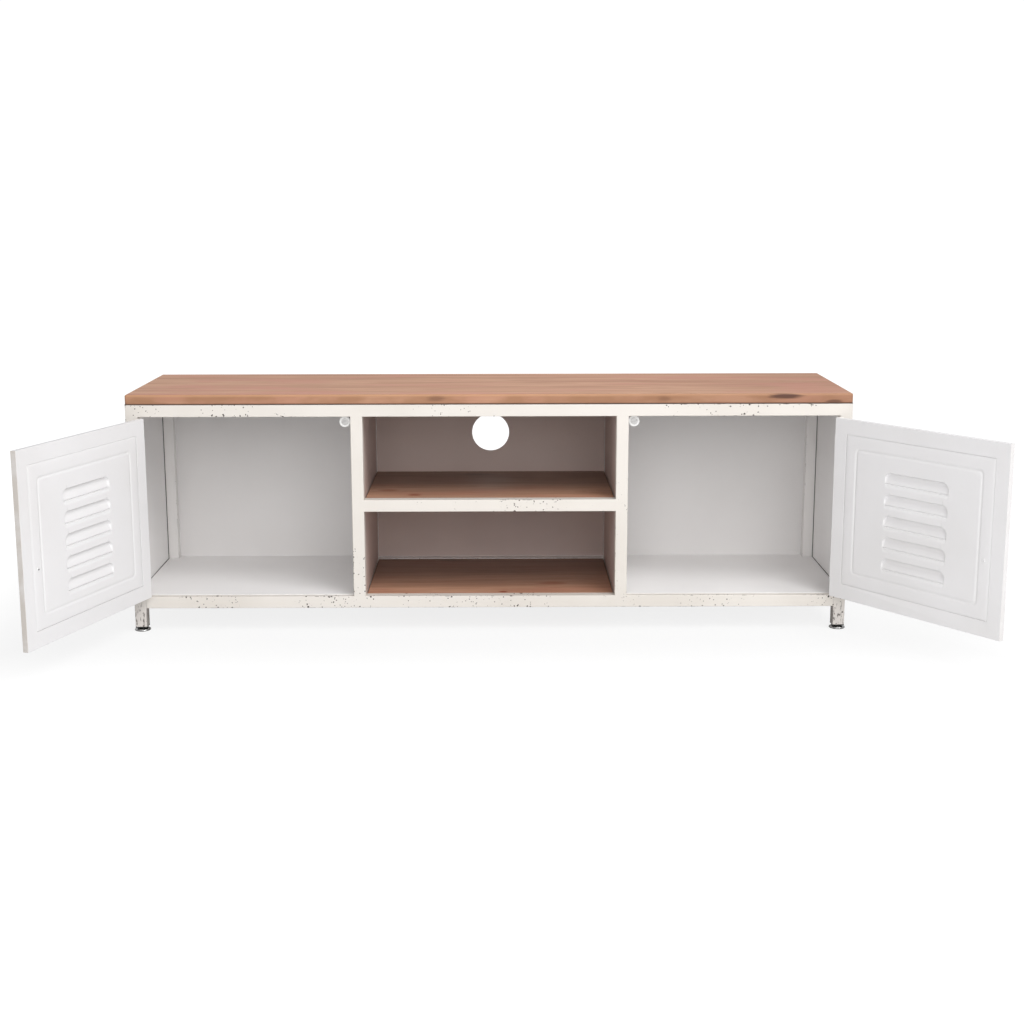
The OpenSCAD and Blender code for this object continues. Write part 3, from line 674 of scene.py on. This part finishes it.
def door_panel(side):
    """Cuts a flat sheet finely at every fold, opens the slits, then presses it out and hangs it."""
    first, last_u, last_z = PANEL_INSET, DOOR_W - PANEL_INSET, DOOR_H - PANEL_INSET
    folds = [k * FOLD_STEP for k in range(-5, 6)]
    rolls = [k * ROLL_STEP for k in range(1, 4)]
    us = [c + d for c in (BEAD_INSET, DOOR_W - BEAD_INSET) for d in folds]
    zs = [c + d for c in (BEAD_INSET, DOOR_H - BEAD_INSET) for d in folds]
    us += [first + d for d in rolls] + [last_u - d for d in rolls]
    zs += [first + d for d in rolls] + [last_z - d for d in rolls]
    us += [DOOR_W / 2 + s * (LOUVRE_W / 2 - k * FOLD_STEP) for s in (-1, 1) for k in range(-1, 21)]
    for foot in louvre_feet:
        zs += [foot - SLIT, foot] + [foot + LOUVRE_H - k * FOLD_STEP / 2 for k in range(43)]
    bm = bmesh.new()
    bmesh.ops.create_grid(bm, x_segments=1, y_segments=1, size=0.5)
    bmesh.ops.scale(bm, vec=(last_u - first, last_z - first, 1), verts=bm.verts)
    bmesh.ops.translate(bm, vec=(DOOR_W / 2, DOOR_H / 2, 0), verts=bm.verts)
    for normal, lines in ((Vector((1, 0, 0)), cut_lines(first, last_u, us)),
                          (Vector((0, 1, 0)), cut_lines(first, last_z, zs))):
        for line in lines:
            everything = bm.verts[:] + bm.edges[:] + bm.faces[:]
            bmesh.ops.bisect_plane(bm, geom=everything, plane_co=normal * line, plane_no=normal)
    slits = []
    for face in bm.faces:
        middle = face.calc_center_median()
        if abs(middle.x - DOOR_W / 2) < LOUVRE_W / 2 - FOLD_STEP:
            if any(foot - SLIT < middle.y < foot for foot in louvre_feet):
                slits.append(face)
    bmesh.ops.delete(bm, geom=slits, context="FACES_ONLY")
    for vert in bm.verts:
        u, z = vert.co.x, vert.co.y
        vert.co = (DOOR_X + u, DOOR_INNER_Y - pressed_depth(u, z), DOOR_Z + z)
    bmesh.ops.recalc_face_normals(bm, faces=bm.faces[:])
    bm.normal_update()
    if sum(f.normal.y for f in bm.faces) < 0:
        bmesh.ops.reverse_faces(bm, faces=bm.faces[:])
    hang(bm, side)
    piece = add_piece("pressed_panel_" + side, bm, door_paint[side], "door_" + side, smooth=60)
    gauge = piece.modifiers.new("gauge", "SOLIDIFY")
    gauge.thickness = SHEET_GAUGE
    gauge.offset = -1
    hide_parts("door_panel_" + side)


for side in ("left", "right"):
    door_panel(side)

# ---- Knobs ----
# A small turned steel knob stands on the outer face of each door near its free edge, held by one
# socket-head screw from inside. The screws are painted over with the doors, except for the socket of
# the left one, which is bare and dark.
KNOB = Vector((-0.270, -0.142, 0.180))
KNOB_PROFILE = [(0, 0.0), (7, 0.0), (7, 1.0), (6.4, 1.6), (4.4, 2.6), (3.9, 4), (3.9, 12.5), (4.6, 14.6),
                (6.4, 16), (7.7, 18), (8, 19.4), (7.7, 21.2), (6.6, 22.8), (5.2, 23.6), (2.6, 24), (0, 24)]
SCREW_PROFILE = [(0, -6.0), (1.7, -6.0), (1.9, -5.6), (1.9, 0.0), (3.0, 0.0), (2.9, 0.3),
                 (2.6, 0.7), (2.2, 1.0), (1.7, 1.1), (1.4, 1.0), (1.3, 0.2), (0, 0.1)]
SOCKET_R = 0.00135
RIM_SHADOW = (0.05, 0.048, 0.045, 1)


def turned(profile, steps=40):
    """A solid of revolution about Z from (radius, height) points in millimetres."""
    bm = bmesh.new()
    verts = [bm.verts.new((r / 1000, 0, z / 1000)) for r, z in profile]
    edges = [bm.edges.new(pair) for pair in zip(verts, verts[1:])]
    bmesh.ops.spin(bm, geom=verts + edges, cent=(0, 0, 0), axis=(0, 0, 1), angle=2 * math.pi, steps=steps,
                   use_merge=True)
    bmesh.ops.remove_doubles(bm, verts=bm.verts[:], dist=1e-6)
    bmesh.ops.recalc_face_normals(bm, faces=bm.faces[:])
    return bm


def bare_metal(name, base, roughness, streak, low_rim=None):
    """Metal with fine turning or plating marks; below a low rim height the metal is painted dark and not
    metallic, as painted shadow and a painted dark reflection.
    """
    material, tree, shader, place = blank(name, roughness, 1.0)
    lines = noise(tree, place, 260, 3, stretch=streak).outputs[0]
    darker = tuple(c * 0.72 for c in base[:3]) + (1,)
    colour = blend_colour(tree, ramp(tree, lines, 0.3, 0.75), base, darker)
    if low_rim:
        # Painted contact shadow and dark reflection below the rim height.
        shadow_mix = ramp(tree, axes(tree, place)[2], low_rim, low_rim * 0.7, 0, 0.92)
        colour = blend_colour(tree, shadow_mix, colour, RIM_SHADOW)
        tree.links.new(maths(tree, "SUBTRACT", 1.0, shadow_mix), shader.inputs["Metallic"])
    coat(tree, shader, colour, ramp(tree, lines, 0.3, 0.8, roughness, roughness + 0.2), lines, 0.12, 0.0002)
    return material


knob_steel = bare_metal("turned_knob_steel", (0.50, 0.48, 0.45, 1), 0.28, (1, 1, 1))
for side in ("left", "right"):
    bm = turned(KNOB_PROFILE)
    outwards = Matrix.Translation(KNOB) @ Matrix.Rotation(math.radians(90), 4, "X")
    bmesh.ops.transform(bm, matrix=outwards, verts=bm.verts)
    hang(bm, side)
    piece = add_piece("turned_knob_" + side, bm, knob_steel, "door_" + side)
    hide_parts("door_knob_" + side)
    bm = turned(SCREW_PROFILE, 32)
    for face in bm.faces:
        middle = face.calc_center_median()
        open_socket = side == "left" and middle.z > 0 and math.hypot(middle.x, middle.y) < SOCKET_R
        face.material_index = int(open_socket)
    inner_face = Matrix.Translation((KNOB.x, DOOR_INNER_Y, KNOB.z))
    inwards = inner_face @ Matrix.Rotation(math.radians(-90), 4, "X")
    bmesh.ops.transform(bm, matrix=inwards, verts=bm.verts)
    hang(bm, side)
    piece = add_piece("socket_screw_" + side, bm, door_paint[side], "door_" + side)
    piece.data.materials.append(seam_shadow_and_socket_dark)
    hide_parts("knob_screw_" + side)

# ---- Hinges ----
# Small butt hinges with three knuckles, welded to the post and the door edge before painting, so
# leaves and knuckles carry the paint; the pins are bare steel.
pin_steel = bare_metal("bare_pin_steel", (0.46, 0.45, 0.43, 1), 0.33, (1, 1, 0.2))
for side in ("left", "right"):
    finish_node("hinge_post_leaves_" + side, sheet_paint, edge=0.00025)
    finish_node("hinge_door_leaves_" + side, door_paint[side], edge=0.00025)
    finish_node("hinge_pins_" + side, pin_steel, edge=0.0002)

# ---- Magnetic catches ----
# A glossy white plastic barrel under the top rail beside each divider, pegged up into the tube,
# with a plated magnet set into its front.
CATCH_WHITE = (0.80, 0.80, 0.79, 1)
CATCH_MILKY = (0.76, 0.76, 0.74, 1)
catch_plastic, tree, shader, place = blank("catch_plastic", 0.14)
mottle = noise(tree, place, 130, 2).outputs[0]
milky = blend_colour(tree, ramp(tree, mottle, 0.4, 0.8, 0, 0.4), CATCH_WHITE, CATCH_MILKY)
coat(tree, shader, milky, 0.14, mottle, 0.08, 0.0003)
magnet_face = bare_metal("magnet_face", (0.56, 0.55, 0.54, 1), 0.30, (1, 1, 1))
for side in ("left", "right"):
    finish_node("catch_housing_" + side, catch_plastic, edge=0.0007, segments=3, angle=50)
    finish_node("catch_magnet_" + side, magnet_face, edge=0.0003)

# ---- Feet ----
# A black plastic plug closes each leg and holds the stem of a pressed, bright-plated foot, whose
# rim is painted dark where it touches the floor, as painted contact shadow and a painted dark reflection.
FOOT_PROFILE = [(0, 0.0), (11.8, 0.0), (12.9, 0.4), (13.4, 1.1), (13.5, 1.7), (13.2, 2.4),
                (12.4, 3.1), (11.2, 3.7), (9.6, 4.3), (7.8, 4.8), (6.4, 5.3), (6.0, 5.8),
                (6.0, 6.5), (4.0, 6.5), (4.0, 24.0), (0, 24.0)]
DARK_RIM = 0.0022
PLUG_BLACK = (0.015, 0.015, 0.015, 1)
PLUG_GREY = (0.05, 0.05, 0.048, 1)
foot_plating = bare_metal("bright_foot_plating", (0.66, 0.66, 0.66, 1), 0.16, (1, 1, 0.3), DARK_RIM)
plug_plastic, tree, shader, place = blank("black_plug_plastic", 0.5)
mottle = noise(tree, place, 300, 2).outputs[0]
soot = blend_colour(tree, mottle, PLUG_BLACK, PLUG_GREY)
coat(tree, shader, soot, 0.5, mottle, 0.15, 0.0003)
finish_node("leg_plugs", plug_plastic)
for name in ("front_left", "front_right", "rear_left", "rear_right"):
    low, high = (Vector(corner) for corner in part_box("foot_" + name))
    bm = turned(FOOT_PROFILE, 36)
    bmesh.ops.translate(bm, vec=((low.x + high.x) / 2, (low.y + high.y) / 2, low.z), verts=bm.verts)
    piece = add_piece("plated_foot_" + name, bm, foot_plating, "cabinet")
    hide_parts("foot_" + name)

# ---- Screws ----
# Zinc-plated wood screws hold the top through its carrier sheet and the shelves through their bars.
zinc = bare_metal("zinc_plating", (0.55, 0.54, 0.50, 1), 0.34, (1, 1, 1))
for name in ("top_screws", "shelf_screws"):
    finish_node(name, zinc)
